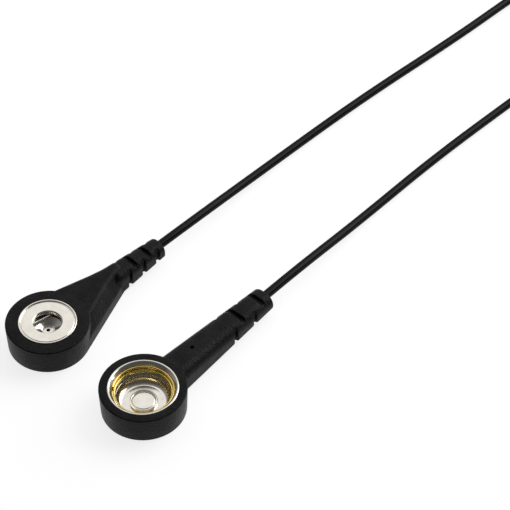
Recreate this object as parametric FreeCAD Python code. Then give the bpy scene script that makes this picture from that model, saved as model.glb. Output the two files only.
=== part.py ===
import FreeCAD, Part
import math
import os

# Straight grounding lead: a thin cord with a press-stud socket moulded on each end.
# Millimetres. The origin is on the table under the middle of the large socket, +Z is up.
# Each connector is built with its socket's axis on Z and its tail along +X, and is then
# turned and moved to its place on the table.

# Places on the table
large_heading_deg = 48.45
small_heading_deg = 50.5
small_x = -16.78
small_y = 14.65
axis_height = 2.55

# Large socket: a drawn cup for a 10 mm stud, with a split ring spring in its groove
ring_inner_d = 9.8
ring_wire_d = 0.5
ring_play = 0.05
ring_gap_deg = 14.0
ring_gap_at_deg = 118.0
ring_sides = 6
cup_sheet = 0.3
cup_depth = 3.85
lip_drop = 0.6
lip_hold = 0.2
rim_overhang = 0.3
ledge_w = 0.25
floor_bevel = 0.45

# Rivet through the cup's floor
rivet_head_d = 4.7
rivet_edge_h = 0.15
rivet_crown_h = 0.35
rivet_shank_d = 1.8
rivet_tail_d = 3.0
rivet_tail_h = 0.25

# Large housing
large_back = 0.6
rim_proud = 0.05
large_disc_d = 14.9
disc_draft = 0.2
top_bevel = 0.2
foot_bevel = 0.15
large_root_w = 6.25
large_root_h = 4.7
large_end_w = 4.5
large_end_h = 2.8
large_shoulder = 1.4
tail_foot = 0.4
large_tail_end = 30.45
end_bevel = 0.2
tail_sink = 0.3
pin_mark_x = 12.2
pin_mark_d = 0.55
pin_mark_depth = 0.5

# Strain relief slots, cut by turns in the sides and in the top and bottom
large_slot_first = 20.35
large_slot_pitch = 2.6
large_slot_count = 4
slot_w = 0.75
slot_depth = 0.65
slot_overcut = 1.0
large_side_slot_h = 2.9
large_top_slot_margin = 0.35
small_slot_first = 18.4
small_slot_pitch = 1.75
small_slot_count = 5
small_side_slot_h = 2.95
small_top_slot_margin = 0.35

# Terminal tags
tag_sheet = 0.25
tag_w = 1.6
large_tag_eye_d = 4.6
small_tag_eye_d = 3.6
tag_clear = 0.5
tag_rise_run = 1.4
crimp_wall = 0.25
crimp_length = 1.8

# Safety resistor, its sleeve and the splice behind it
resistor_lead_d = 0.5
resistor_cap_d = 2.3
resistor_cap_length = 1.1
resistor_body_d = 2.0
resistor_body_length = 3.2
resistor_lead_free = 1.4
lead_in_splice = 1.0
shrink_wall = 0.15
shrink_overlap = 0.7
splice_wall = 0.3
splice_length = 2.4
splice_gap = 0.5
conductor_d = 0.5
conductor_in_jacket = 1.6

# Small socket: face plate, base shell and two retaining wires for a 4 mm stud
throat_d = 4.8
throat_length = 0.85
throat_lip = 0.3
small_sheet = 0.25
plate_d = 10.1
bead_w = 0.3
bead_proud = 0.15
skirt_length = 0.85
chamber_d = 6.6
spring_wire_d = 0.5
spring_play = 0.05
spring_gap = 3.2
spring_travel = 0.35
spring_turn_deg = -12.2
spring_end_gap = 0.1
spring_seat_w = 0.8
cone_drop = 0.9
cone_flat_d = 2.2
eyelet_flange_d = 2.0
eyelet_flange_h = 0.2
eyelet_barrel_d = 1.1
eyelet_hole_d = 0.7
eyelet_clench_h = 0.25

# Small housing
small_height = 5.1
small_disc_d = 14.6
wedge_half_angle_deg = 17.1
wedge_top_drop = 0.2
wedge_wall_h = 2.2
wedge_inset = 1.5
small_relief_start = 17.4
small_bend_x = 11.0
small_bend_deg = -3.9
small_root_w = 4.4
small_root_h = 4.3
small_end_w = 3.7
small_end_h = 2.9
small_shoulder = 1.4
small_tail_end = 27.3
small_jacket_start = 8.6

# Cord and its coil
cord_d = 1.5
cord_sides = 6
cord_exit_straight = 9.0
run_share = 0.45
coil_x = 96.2
coil_y = 115.8
coil_heading_deg = 44.0
coil_straight = 30.0
coil_bend_r = 10.5
coil_pitch = 1.95
coil_bends_per_layer = 7
coil_lead = 12.0
tie_sheet = 0.4
tie_w = 4.0
tie_play = 0.1
gap_step = 0.5

# Heights and radii that follow from the sizes above
ring_r = ring_inner_d / 2 + ring_wire_d / 2
groove_r = ring_inner_d / 2 + ring_wire_d + ring_play
groove_h = ring_wire_d + 2 * ring_play
mouth_r = groove_r - lip_hold
rim_r = groove_r + cup_sheet + rim_overhang
rim_roll = (rim_r - mouth_r) / 2
bore_r = ring_inner_d / 2 - ledge_w
rivet_tail_z = large_back
large_tag_z = rivet_tail_z + rivet_tail_h
cup_bottom_z = large_tag_z + tag_sheet
cup_floor_z = cup_bottom_z + cup_sheet
rim_z = cup_floor_z + cup_depth
groove_top_z = rim_z - lip_drop
ledge_z = groove_top_z - groove_h
ring_z = ledge_z + groove_h / 2
large_height = rim_z - rim_proud

plate_r = plate_d / 2
throat_r = throat_d / 2
throat_z = small_height - throat_length
plate_under_z = small_height - small_sheet
spring_z = throat_z - spring_play - spring_wire_d / 2
seat_z = spring_z - spring_wire_d / 2 - spring_play
chamber_r = chamber_d / 2
base_r = chamber_r + small_sheet
seat_r = chamber_r - spring_seat_w
skirt_r = plate_r - small_sheet
skirt_z = small_height - skirt_length
flange_z = plate_under_z - small_sheet
base_floor_z = seat_z - cone_drop
base_under_z = base_floor_z - small_sheet
small_tag_z = base_under_z - tag_sheet
clench_z = small_tag_z - eyelet_clench_h
spring_offset = spring_gap / 2 + spring_wire_d / 2

crimp_r = conductor_d / 2 + crimp_wall
large_rise_x = bore_r + cup_sheet + tag_clear
large_crimp_x = large_rise_x + tag_rise_run
small_rise_x = base_r + tag_clear
small_crimp_x = small_rise_x + tag_rise_run
resistor_x = large_crimp_x + crimp_length + resistor_lead_free
body_x = resistor_x + resistor_cap_length
rear_cap_x = body_x + resistor_body_length
rear_lead_x = rear_cap_x + resistor_cap_length
splice_x = rear_lead_x + shrink_overlap + splice_gap
large_conductor_x = splice_x + lead_in_splice
large_jacket_x = splice_x + splice_length + splice_gap

cord_flat = cord_d / 2 * math.cos(math.pi / cord_sides)
coil_low_z = tie_sheet + cord_flat
coil_high_z = coil_low_z + coil_pitch


def point(x, y, z=0.0):
    return FreeCAD.Vector(x, y, z)


def outline(steps, place):
    """Closed wire through pairs of sizes; a pair of pairs is an arc's middle and end."""
    first = here = place(*steps[0])
    edges = []
    for step in steps[1:]:
        if isinstance(step[0], tuple):
            end = place(*step[1])
            edges.append(Part.Arc(here, place(*step[0]), end).toShape())
        else:
            end = place(*step)
            edges.append(Part.LineSegment(here, end).toShape())
        here = end
    if here.distanceToPoint(first) > 1e-6:
        edges.append(Part.LineSegment(here, first).toShape())
    return Part.Wire(edges)


def turned(steps, sweep_deg=360.0):
    """Solid turned about Z from an outline of radii and heights."""
    face = Part.Face(outline(steps, lambda r, z: point(r, 0, z)))
    return face.revolve(point(0, 0), point(0, 0, 1), sweep_deg)


def rod(start, end, diameter):
    """Round rod along the tail's axis."""
    return Part.makeCylinder(diameter / 2, end - start, point(start, 0, axis_height), point(1, 0))


def sleeve(start, end, outer_d, inner_d):
    """Round tube along the tail's axis."""
    return rod(start, end, outer_d).cut(rod(start, end, inner_d))


def block(x, y, z, length, width, height):
    """Box with its middle at x and y, standing on z."""
    return Part.makeBox(length, width, height, point(x - length / 2, y - width / 2, z))


def between(x, x0, size0, x1, size1):
    """Size at x of something that tapers evenly from x0 to x1."""
    return size0 + (size1 - size0) * (x - x0) / (x1 - x0)


def seated(shape, centre_x, centre_y, heading_deg):
    """A connector's piece turned to its heading and moved to its place on the table."""
    placed = shape.copy()
    placed.rotate(point(0, 0), point(0, 0, 1), heading_deg)
    placed.translate(point(centre_x, centre_y))
    return placed


def at_large(shape):
    return seated(shape, 0.0, 0.0, large_heading_deg)


def at_small(shape):
    return seated(shape, small_x, small_y, small_heading_deg)


# Large socket

def bead(inner_r, outer_r, low_z, high_z):
    """Outline of a raised bead from its outer to its inner edge, in three flats."""
    third = (outer_r - inner_r) / 3
    return [(outer_r, low_z), (outer_r - third, high_z), (inner_r + third, high_z), (inner_r, low_z)]


def cup_outside():
    """Outer outline of the cup from its floor's edge up to the rim."""
    return [
        (bore_r + cup_sheet, cup_bottom_z),
        (bore_r + cup_sheet, ledge_z - cup_sheet),
        (groove_r + cup_sheet, ledge_z - cup_sheet),
        (groove_r + cup_sheet, rim_z - rim_roll - rim_overhang),
        (rim_r, rim_z - rim_roll),
    ]


def large_socket_cup():
    inside = bead(mouth_r, rim_r, rim_z - rim_roll, rim_z)[1:] + [
        (mouth_r, groove_top_z),
        (groove_r, groove_top_z),
        (groove_r, ledge_z),
        (bore_r, ledge_z),
        (bore_r, cup_floor_z + floor_bevel),
        (bore_r - floor_bevel, cup_floor_z),
        (rivet_shank_d / 2, cup_floor_z),
    ]
    return turned([(rivet_shank_d / 2, cup_bottom_z)] + cup_outside() + inside)


def polygon(sides, radius, centre, across, up):
    """Closed wire of equal sides about a centre, with a corner straight across from it."""
    corners = []
    for i in range(sides + 1):
        angle = 2 * math.pi * i / sides
        corners.append(centre + (across * math.cos(angle) + up * math.sin(angle)) * radius)
    return Part.makePolygon(corners)


def ring_spring():
    """Split ring of spring wire; its ends stand apart by the gap."""
    section = polygon(ring_sides, ring_wire_d / 2, point(ring_r, 0, ring_z), point(1, 0), point(0, 0, 1))
    ring = Part.Face(section).revolve(point(0, 0), point(0, 0, 1), 360.0 - ring_gap_deg)
    ring.rotate(point(0, 0), point(0, 0, 1), ring_gap_at_deg + ring_gap_deg / 2)
    return ring


def crown_height(radius, crown_h, at_r):
    """Height of a low round crown above its edge, at a radius inside the edge."""
    sphere_r = (radius**2 + crown_h**2) / (2 * crown_h)
    return crown_h - sphere_r + math.sqrt(sphere_r**2 - at_r**2)


def large_rivet():
    head_r = rivet_head_d / 2
    shank_r = rivet_shank_d / 2
    edge_z = cup_floor_z + rivet_edge_h
    return turned([
        (0, rivet_tail_z),
        (rivet_tail_d / 2, rivet_tail_z),
        (rivet_tail_d / 2, large_tag_z),
        (shank_r, large_tag_z),
        (shank_r, cup_floor_z),
        (head_r, cup_floor_z),
        (head_r, edge_z),
        (head_r / 2, edge_z + crown_height(head_r, rivet_crown_h, head_r / 2)),
        (0, edge_z + rivet_crown_h),
    ])


# Terminal tags and the parts along the tails

def tag_blank(eye_d, eye_z, rise_x, crimp_x):
    """Ring tongue, its joggle and its crimp barrel, before the holes."""
    crimp_z = axis_height - crimp_r
    steps = [
        (0, eye_z),
        (rise_x, eye_z),
        (crimp_x, crimp_z),
        (crimp_x + crimp_length, crimp_z),
        (crimp_x + crimp_length, crimp_z + tag_sheet),
        (crimp_x, crimp_z + tag_sheet),
        (rise_x, eye_z + tag_sheet),
        (0, eye_z + tag_sheet),
    ]
    side = Part.Face(outline(steps, lambda x, z: point(x, -tag_w / 2, z)))
    tongue = side.extrude(point(0, tag_w))
    eye = Part.makeCylinder(eye_d / 2, tag_sheet, point(0, 0, eye_z))
    barrel = rod(crimp_x, crimp_x + crimp_length, 2 * crimp_r)
    return tongue.fuse([eye, barrel]).removeSplitter()


def large_tag_blank():
    return tag_blank(large_tag_eye_d, large_tag_z, large_rise_x, large_crimp_x)


def small_tag_blank():
    return tag_blank(small_tag_eye_d, small_tag_z, small_rise_x, small_crimp_x)


def drilled(blank, hole_d, eye_z, crimp_x, wire_d):
    """Tag with its rivet hole and the bore of its crimp."""
    hole = Part.makeCylinder(hole_d / 2, tag_sheet, point(0, 0, eye_z))
    return blank.cut([hole, rod(crimp_x, crimp_x + crimp_length, wire_d)])


def large_terminal_tag():
    return drilled(large_tag_blank(), rivet_shank_d, large_tag_z, large_crimp_x, resistor_lead_d)


def small_terminal_tag():
    return drilled(small_tag_blank(), eyelet_barrel_d, small_tag_z, small_crimp_x, conductor_d)


def resistor_lead_front():
    return rod(large_crimp_x, resistor_x, resistor_lead_d)


def resistor_cap_front():
    return rod(resistor_x, body_x, resistor_cap_d)


def resistor_body():
    return rod(body_x, rear_cap_x, resistor_body_d)


def resistor_cap_rear():
    return rod(rear_cap_x, rear_lead_x, resistor_cap_d)


def resistor_lead_rear():
    return rod(rear_lead_x, large_conductor_x, resistor_lead_d)


def shrink_ends():
    return resistor_x - shrink_overlap, rear_lead_x + shrink_overlap


def resistor_sleeve():
    start, end = shrink_ends()
    return sleeve(start, end, resistor_cap_d + 2 * shrink_wall, resistor_cap_d)


def splice_sleeve():
    """Ferrule over the resistor's lead and the conductor, bored for each."""
    end = splice_x + splice_length
    blank = rod(splice_x, end, conductor_d + 2 * splice_wall)
    return blank.cut([resistor_lead_rear(), rod(large_conductor_x, end, conductor_d)])


def conductor_end(start, jacket_x):
    return rod(start, jacket_x + conductor_in_jacket, conductor_d)


def conductor_bore(jacket_x):
    """Room for the conductor in the inner end of a cord's jacket."""
    return rod(jacket_x, jacket_x + conductor_in_jacket, conductor_d)


def large_cord_end():
    """Cord's jacket inside the large strain relief."""
    return rod(large_jacket_x, large_tail_end, cord_d).cut(conductor_bore(large_jacket_x))


def swung(shape):
    """A piece of the small strain relief, which is bent aside a little."""
    bent = shape.copy()
    bent.rotate(point(small_bend_x, 0), point(0, 0, 1), small_bend_deg)
    return bent


def small_exit():
    """Middle of the bent strain relief's end."""
    length = small_tail_end - small_bend_x
    return point(small_bend_x, 0, axis_height) + heading(small_bend_deg) * length


def small_cord():
    """Cord in the small tail, which follows the strain relief's bend."""
    start = point(small_jacket_start, 0, axis_height)
    edges = rounded_route([start, point(small_bend_x, 0, axis_height), small_exit()])[0]
    section = Part.Wire(Part.Circle(start, point(1, 0), cord_d / 2).toShape())
    return Part.Wire(edges).makePipeShell([section], True, False)


def small_cord_end():
    """Cord's jacket inside the small strain relief."""
    return small_cord().cut(conductor_bore(small_jacket_start))


# Moulded housings

def disc(diameter, height):
    """Drafted disc with a soft top edge and a bevelled foot."""
    top_r = diameter / 2
    foot_r = top_r - disc_draft
    return turned([
        (0, 0),
        (foot_r - foot_bevel, 0),
        (foot_r, foot_bevel),
        (top_r, height - top_bevel),
        (top_r - top_bevel, height),
        (0, height),
    ])


def large_tail_size(x):
    """Width and height of the large tail at x, which tapers evenly."""
    root_x = large_disc_d / 2
    return (
        between(x, root_x, large_root_w, large_tail_end, large_end_w),
        between(x, root_x, large_root_h, large_tail_end, large_end_h),
    )


def small_relief_size(x):
    """Width and height of the small strain relief at x."""
    return (
        between(x, small_relief_start, small_root_w, small_tail_end, small_end_w),
        between(x, small_relief_start, small_root_h, small_tail_end, small_end_h),
    )


def tapered_tail(start, end, size_at, shoulder):
    """Tail that narrows evenly: round shoulders, small round feet and a bevelled end."""
    half_w, half_h = (size / 2 for size in size_at(start))
    end_half_w, end_half_h = (size / 2 for size in size_at(end))
    tail = Part.makeWedge(
        -half_w, 0, -half_h, -end_half_h, -end_half_w,
        half_w, end - start, half_h, end_half_h, end_half_w,
    )
    tail.rotate(point(0, 0), point(0, 0, 1), -90)
    tail.translate(point(start, 0, axis_height))
    for radius, side in ((shoulder, 1), (tail_foot, -1)):
        long_edges = [
            edge for edge in tail.Edges
            if start + tail_foot < edge.CenterOfMass.x < end - tail_foot
            and (edge.CenterOfMass.z - axis_height) * side > end_half_h / 2
            and edge.Length > (end - start) / 2
        ]
        tail = tail.makeFillet(radius, long_edges)
    end_edges = [edge for edge in tail.Edges if min(v.X for v in edge.Vertexes) > end - end_bevel / 2]
    return tail.makeChamfer(end_bevel, end_edges)


def slots(first, pitch, count, size_at, side_slot_h, top_margin):
    """Slots by turns in both sides, down from the shoulder, and in the top and bottom."""
    cutters = []
    for i in range(count):
        x = first + i * pitch
        width, height = size_at(x)
        reach = slot_depth + slot_overcut
        for side in (-1, 1):
            if i % 2 == 0:
                y = side * (width / 2 + slot_overcut - reach / 2)
                z = axis_height + height / 2 - side_slot_h
                cutters.append(block(x, y, z, slot_w, reach, side_slot_h))
            else:
                z = axis_height + side * (height / 2 + slot_overcut - reach / 2) - reach / 2
                cutters.append(block(x, 0, z, slot_w, width - 2 * top_margin, reach))
    return cutters


def large_cavity():
    """Space in the large housing for the pieces that it is moulded round."""
    start, end = shrink_ends()
    splice_end = splice_x + splice_length
    filled = [
        turned([(0, cup_bottom_z)] + cup_outside() + [(rim_r, rim_z), (0, rim_z)]),
        Part.makeCylinder(rivet_tail_d / 2, rivet_tail_h, point(0, 0, rivet_tail_z)),
        large_tag_blank(),
        rod(large_crimp_x + crimp_length, start, resistor_lead_d),
        rod(start, end, resistor_cap_d + 2 * shrink_wall),
        rod(end, splice_x, resistor_lead_d),
        rod(splice_x, splice_end, conductor_d + 2 * splice_wall),
        rod(splice_end, large_jacket_x, conductor_d),
        rod(large_jacket_x, large_tail_end, cord_d),
    ]
    return filled[0].fuse(filled[1:])


def large_housing():
    """Disc, half-barrel and slotted strain relief in one moulding."""
    foot_r = large_disc_d / 2 - disc_draft
    start = math.sqrt(foot_r**2 - large_root_w**2 / 4) - tail_sink
    tail = tapered_tail(start, large_tail_end, large_tail_size, large_shoulder)
    top_z = axis_height + large_tail_size(pin_mark_x)[1] / 2
    mark = Part.makeCylinder(pin_mark_d / 2, pin_mark_depth * 2, point(pin_mark_x, 0, top_z - pin_mark_depth))
    cutters = slots(large_slot_first, large_slot_pitch, large_slot_count, large_tail_size,
                    large_side_slot_h, large_top_slot_margin)
    body = disc(large_disc_d, large_height).fuse(tail).removeSplitter()
    return body.cut([large_cavity(), mark] + cutters)


def base_underside():
    """Outer outline of the small socket's base from its flat out to its flange."""
    return [
        (cone_flat_d / 2, base_under_z),
        (seat_r, seat_z - small_sheet),
        (base_r, seat_z - small_sheet),
        (base_r, flange_z),
        (skirt_r, flange_z),
    ]


def small_socket_base():
    """Base shell: flange, chamber for the wires, their seat and a conical floor."""
    inside = [
        (skirt_r, plate_under_z),
        (chamber_r, plate_under_z),
        (chamber_r, seat_z),
        (seat_r, seat_z),
        (cone_flat_d / 2, base_floor_z),
        (eyelet_barrel_d / 2, base_floor_z),
    ]
    return turned([(eyelet_barrel_d / 2, base_under_z)] + base_underside() + inside)


def small_face_plate():
    """Nickel plate with a raised bead round its edge, a skirt and a drawn throat."""
    lip_z = small_height - throat_lip
    near = 1 - math.sqrt(0.5)
    raised = bead(plate_r - bead_w, plate_r, small_height, small_height + bead_proud)
    return turned([
        (throat_r, throat_z),
        (throat_r, lip_z),
        (throat_r + throat_lip * near, small_height - throat_lip * near),
        (throat_r + throat_lip, small_height),
    ] + raised[::-1] + [
        (plate_r, skirt_z),
        (skirt_r, skirt_z),
        (skirt_r, plate_under_z),
        (throat_r + small_sheet, plate_under_z),
        (throat_r + small_sheet, throat_z),
    ])


def small_spring(side):
    """Straight retaining wire beside the throat, with room to move outwards."""
    furthest = spring_offset + spring_wire_d / 2 + spring_travel
    half = math.sqrt(chamber_r**2 - furthest**2) - spring_end_gap
    start = point(-half, side * spring_offset, spring_z)
    wire = Part.makeCylinder(spring_wire_d / 2, 2 * half, start, point(1, 0))
    wire.rotate(point(0, 0), point(0, 0, 1), spring_turn_deg)
    return wire


def small_spring_left():
    return small_spring(1)


def small_spring_right():
    return small_spring(-1)


def small_eyelet():
    hole_r, barrel_r, flange_r = eyelet_hole_d / 2, eyelet_barrel_d / 2, eyelet_flange_d / 2
    return turned([
        (hole_r, clench_z),
        (flange_r, clench_z),
        (flange_r, small_tag_z),
        (barrel_r, small_tag_z),
        (barrel_r, base_floor_z),
        (flange_r, base_floor_z),
        (flange_r, base_floor_z + eyelet_flange_h),
        (hole_r, base_floor_z + eyelet_flange_h),
    ])


def small_cavity():
    """Space in the small housing for the pieces that it is moulded round."""
    plate_outside = [
        (skirt_r, skirt_z),
        (plate_r, skirt_z),
        (plate_r, small_height + bead_proud),
        (0, small_height + bead_proud),
    ]
    filled = [
        turned([(0, base_under_z)] + base_underside() + plate_outside),
        Part.makeCylinder(eyelet_flange_d / 2, eyelet_clench_h, point(0, 0, clench_z)),
        small_tag_blank(),
        rod(small_crimp_x + crimp_length, small_jacket_start, conductor_d),
        small_cord(),
    ]
    return filled[0].fuse(filled[1:])


def wedge():
    """Tail whose walls leave the disc tangentially, with steep flanks under a flat top."""
    foot_r = small_disc_d / 2 - disc_draft
    end = small_relief_start + tail_sink
    high = small_height - wedge_top_drop
    steps = [
        (-foot_r, 0),
        (foot_r - foot_bevel, 0),
        (foot_r, foot_bevel),
        (foot_r, wedge_wall_h),
        (foot_r - wedge_inset, high),
        (-foot_r, high),
    ]
    flank = Part.Face(outline(steps, lambda y, z: point(0, y, z))).extrude(point(2 * end, 0))
    flank.rotate(point(0, 0), point(0, 0, 1), -wedge_half_angle_deg)
    other = flank.mirror(point(0, 0), point(0, 1))
    return flank.common([other]).common([block(end / 2, 0, 0, end, small_disc_d, high)])


def small_housing():
    """Disc, wedge and ribbed strain relief in one moulding."""
    relief = swung(tapered_tail(small_relief_start, small_tail_end, small_relief_size, small_shoulder))
    body = disc(small_disc_d, small_height).fuse([wedge(), relief]).removeSplitter()
    cutters = slots(small_slot_first, small_slot_pitch, small_slot_count, small_relief_size,
                    small_side_slot_h, small_top_slot_margin)
    return body.cut([small_cavity()] + [swung(cutter) for cutter in cutters])


# Cord

def arc_inside(start, corner, end):
    """Arc that leaves start towards the corner and reaches end from it, and its radius."""
    middle = (start + end) * 0.5
    half_chord = start.distanceToPoint(end) / 2
    rise = corner.distanceToPoint(middle)
    half_turn = math.atan2(rise, half_chord)
    top = middle + (corner - middle) * (half_chord * math.tan(half_turn / 2) / rise)
    return Part.Arc(start, top, end).toShape(), half_chord / math.sin(half_turn)


def rounded_route(route):
    """Straight runs joined by arcs, each as large as its two runs allow, and their radii."""
    edges, radii = [], []
    here = route[0]
    for before, corner, after in zip(route, route[1:], route[2:]):
        room = run_share * min(corner.distanceToPoint(before), corner.distanceToPoint(after))
        start = corner + (before - corner).normalize() * room
        end = corner + (after - corner).normalize() * room
        arc, radius = arc_inside(start, corner, end)
        edges += [Part.LineSegment(here, start).toShape(), arc]
        radii.append(radius)
        here = end
    edges.append(Part.LineSegment(here, route[-1]).toShape())
    return edges, radii


def cord_tube(edges, start, way, name):
    """Faceted tube along a path, whose volume is compared with its section times its length."""
    across = way.cross(point(0, 0, 1)).normalize()
    section = polygon(cord_sides, cord_d / 2, start, across, across.cross(way))
    path = Part.Wire(edges)
    tube = path.makePipeShell([section], True, False)
    ratio = tube.Volume / (Part.Face(section).Area * path.Length)
    print(f"{name}: length {path.Length:.1f}, volume over section times length {ratio:.4f}")
    return tube


def free_run(route, name):
    edges, radii = rounded_route(route)
    print(f"{name}: radii " + ", ".join(f"{r:.0f}" for r in radii))
    return cord_tube(edges, route[0], (route[1] - route[0]).normalize(), name)


def heading(angle_deg):
    """Level direction at an angle from +X."""
    return point(math.cos(math.radians(angle_deg)), math.sin(math.radians(angle_deg)))


def on_coil(x, y, z):
    """Point at x along the coil's straight sides and y across them."""
    return point(coil_x, coil_y, z) + heading(coil_heading_deg) * x + heading(coil_heading_deg + 90) * y


def climb(start, end, way):
    """Two equal arcs that leave and arrive in the same direction, one layer up."""
    chord = end - start
    reach = chord.dot(chord) / (4 * chord.dot(way))
    middle = (start + end) * 0.5
    return [
        arc_inside(start, start + way * reach, middle)[0],
        arc_inside(middle, end - way * reach, end)[0],
    ]


def coil_path():
    """Oval loops that wind in by half a pitch at each bend, climb a layer and wind out again."""
    inward = [coil_bend_r - i * coil_pitch / 2 for i in range(coil_bends_per_layer)]
    x, y, z = coil_straight / 2, coil_bend_r, coil_low_z
    here = on_coil(x, y, z)
    edges = [Part.LineSegment(on_coil(-x, y, z), here).toShape()]
    for i, radius in enumerate(inward + inward[:0:-1]):
        side = 1 if x > 0 else -1
        top = on_coil(x + side * radius, y - side * radius, z)
        y -= 2 * side * radius
        bend_end = on_coil(x, y, z)
        edges.append(Part.Arc(here, top, bend_end).toShape())
        x = -x
        if i == coil_bends_per_layer - 1:
            z = coil_high_z
            here = on_coil(x, y, z)
            edges += climb(bend_end, here, heading(coil_heading_deg) * -side)
        else:
            here = on_coil(x, y, z)
            edges.append(Part.LineSegment(bend_end, here).toShape())
    return edges


def least_gap(edges):
    """Least distance between the cord's faces, at points that aren't beside each other."""
    places = Part.Wire(edges).discretize(Distance=gap_step)
    apart = math.ceil(math.pi * cord_d / gap_step)
    least = min(
        here.distanceToPoint(there)
        for i, here in enumerate(places)
        for there in places[i + apart:]
    )
    return least - cord_d


def cord_coil():
    """Unbroken tube, wound in and out again in two layers."""
    edges = coil_path()
    print(f"cord_coil: least gap {least_gap(edges):.2f}")
    start = on_coil(-coil_straight / 2, coil_bend_r, coil_low_z)
    return cord_tube(edges, start, heading(coil_heading_deg), "cord_coil")


def small_route(x):
    """Point on the table at x along the small tail's strain relief and the cord behind it."""
    bent = small_exit() + heading(small_bend_deg) * x
    turn = FreeCAD.Rotation(point(0, 0, 1), small_heading_deg)
    return point(small_x, small_y) + turn.multVec(bent)


def large_route(x):
    """Point at x beyond the large tail's end, where the cord runs straight on."""
    return point(0, 0, axis_height) + heading(large_heading_deg) * (large_tail_end + x)


def cord_run_small():
    chosen = [
        point(18.9, 55.2, cord_d / 2),
        point(37.9, 74.8, cord_d / 2),
        point(57.9, 93.4, cord_d / 2),
    ]
    lead = [on_coil(-coil_straight / 2 - x, coil_bend_r, coil_low_z) for x in (coil_lead, 0)]
    leaving = [small_route(x) for x in (0, cord_exit_straight)]
    return free_run(leaving + chosen + lead, "cord_run_small")


def cord_run_large():
    chosen = [
        point(37.1, 42.8, cord_d / 2),
        point(52.4, 59.9, cord_d / 2),
        point(70.4, 77.8, cord_d / 2),
    ]
    lead = [on_coil(-coil_straight / 2 - x, -coil_bend_r, coil_high_z) for x in (coil_lead, 0)]
    leaving = [large_route(x) for x in (0, cord_exit_straight)]
    return free_run(leaving + chosen + lead, "cord_run_large")


def coil_tie():
    """Flat band round the strands on one straight side of the coil."""
    outer = coil_bend_r + cord_d / 2 + tie_play
    inner = coil_bend_r - (coil_bends_per_layer // 2) * coil_pitch - cord_d / 2 - tie_play
    height = coil_pitch + 2 * cord_flat
    middle = (inner + outer) / 2
    hole = block(0, middle, tie_sheet, tie_w, outer - inner, height)
    band = block(0, middle, 0, tie_w, outer - inner + 2 * tie_sheet, height + 2 * tie_sheet)
    return seated(band.cut(hole), coil_x, coil_y, coil_heading_deg)


def main():
    large = [
        large_housing, large_socket_cup, ring_spring, large_rivet, large_terminal_tag,
        resistor_lead_front, resistor_cap_front, resistor_body, resistor_cap_rear,
        resistor_lead_rear, resistor_sleeve, splice_sleeve, large_cord_end,
    ]
    small = [
        small_housing, small_face_plate, small_socket_base, small_spring_left,
        small_spring_right, small_eyelet, small_terminal_tag, small_cord_end,
    ]
    nodes = {make.__name__: at_large(make()) for make in large}
    nodes["large_conductor_end"] = at_large(conductor_end(large_conductor_x, large_jacket_x))
    nodes.update({make.__name__: at_small(make()) for make in small})
    nodes["small_conductor_end"] = at_small(conductor_end(small_crimp_x, small_jacket_start))
    for make in (cord_run_small, cord_coil, cord_run_large, coil_tie):
        nodes[make.__name__] = make()
    os.makedirs("parts", exist_ok=True)
    for name, shape in nodes.items():
        print(f"{name}: valid {shape.isValid()}, solids {len(shape.Solids)}, volume {shape.Volume:.2f}")
        shape.exportStep(f"parts/{name}.step")


main()
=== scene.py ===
"""Straight grounding lead with a press-stud socket moulded on each end.

Each connector is modelled on the bench in millimetres, with its socket's axis on Z and its
tail along +X, and is then turned, moved to its place on the table and brought to metres.
"""

import logging
import math
from collections.abc import Callable, Iterator, Sequence
from contextlib import contextmanager
from dataclasses import dataclass, field
from enum import Enum

import bmesh
import bpy
from mathutils import Matrix, Vector


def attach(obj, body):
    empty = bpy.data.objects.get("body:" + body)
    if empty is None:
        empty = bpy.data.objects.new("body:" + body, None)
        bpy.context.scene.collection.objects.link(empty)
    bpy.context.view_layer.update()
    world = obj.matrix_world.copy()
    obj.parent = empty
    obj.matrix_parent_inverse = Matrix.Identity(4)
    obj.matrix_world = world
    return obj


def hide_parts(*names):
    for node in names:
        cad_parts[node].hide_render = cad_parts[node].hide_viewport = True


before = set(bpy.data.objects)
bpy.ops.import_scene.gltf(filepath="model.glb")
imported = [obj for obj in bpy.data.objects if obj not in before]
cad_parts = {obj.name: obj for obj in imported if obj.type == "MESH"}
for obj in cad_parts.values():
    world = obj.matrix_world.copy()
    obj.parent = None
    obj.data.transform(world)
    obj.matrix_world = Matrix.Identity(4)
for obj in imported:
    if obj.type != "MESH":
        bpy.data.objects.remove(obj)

log = logging.getLogger("grounding_lead")

MM = 0.001
TINY = 1e-4  # places closer than this are one place
LONG_EDGE = 1.0  # an edge that goes further than this along X runs along the piece
FACING = 0.9  # a face looks along an axis from this much of its normal on
ROUND_SEGMENTS = 6
BODY = "lead"
AXIS_Z = 2.55
WHITE = (1.0, 1.0, 1.0, 1.0)

Point = tuple[float, float, float]
Colour = tuple[float, float, float]
Steps = Sequence[tuple[float, ...]]
Test = Callable[[Vector, Vector], bool]
Socket = bpy.types.NodeSocket


class Kind(Enum):
    """Material slots of the lead's pieces."""

    VERTICES = "VERT"
    EDGES = "EDGE"
    FACES = "FACE"


class Slot(Enum):
    """Material slots of the record."""

    BLACK_PVC = "black_pvc"
    CORD_JACKET = "cord_jacket"
    NICKEL = "nickel"
    GILT_SPRING = "gilt_spring"
    SPRING_STEEL = "spring_steel"
    TINNED_METAL = "tinned_metal"
    CERAMIC = "ceramic"
    SHRINK_SLEEVE = "shrink_sleeve"
    TIE_STRAP = "tie_strap"


# Bench


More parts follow.
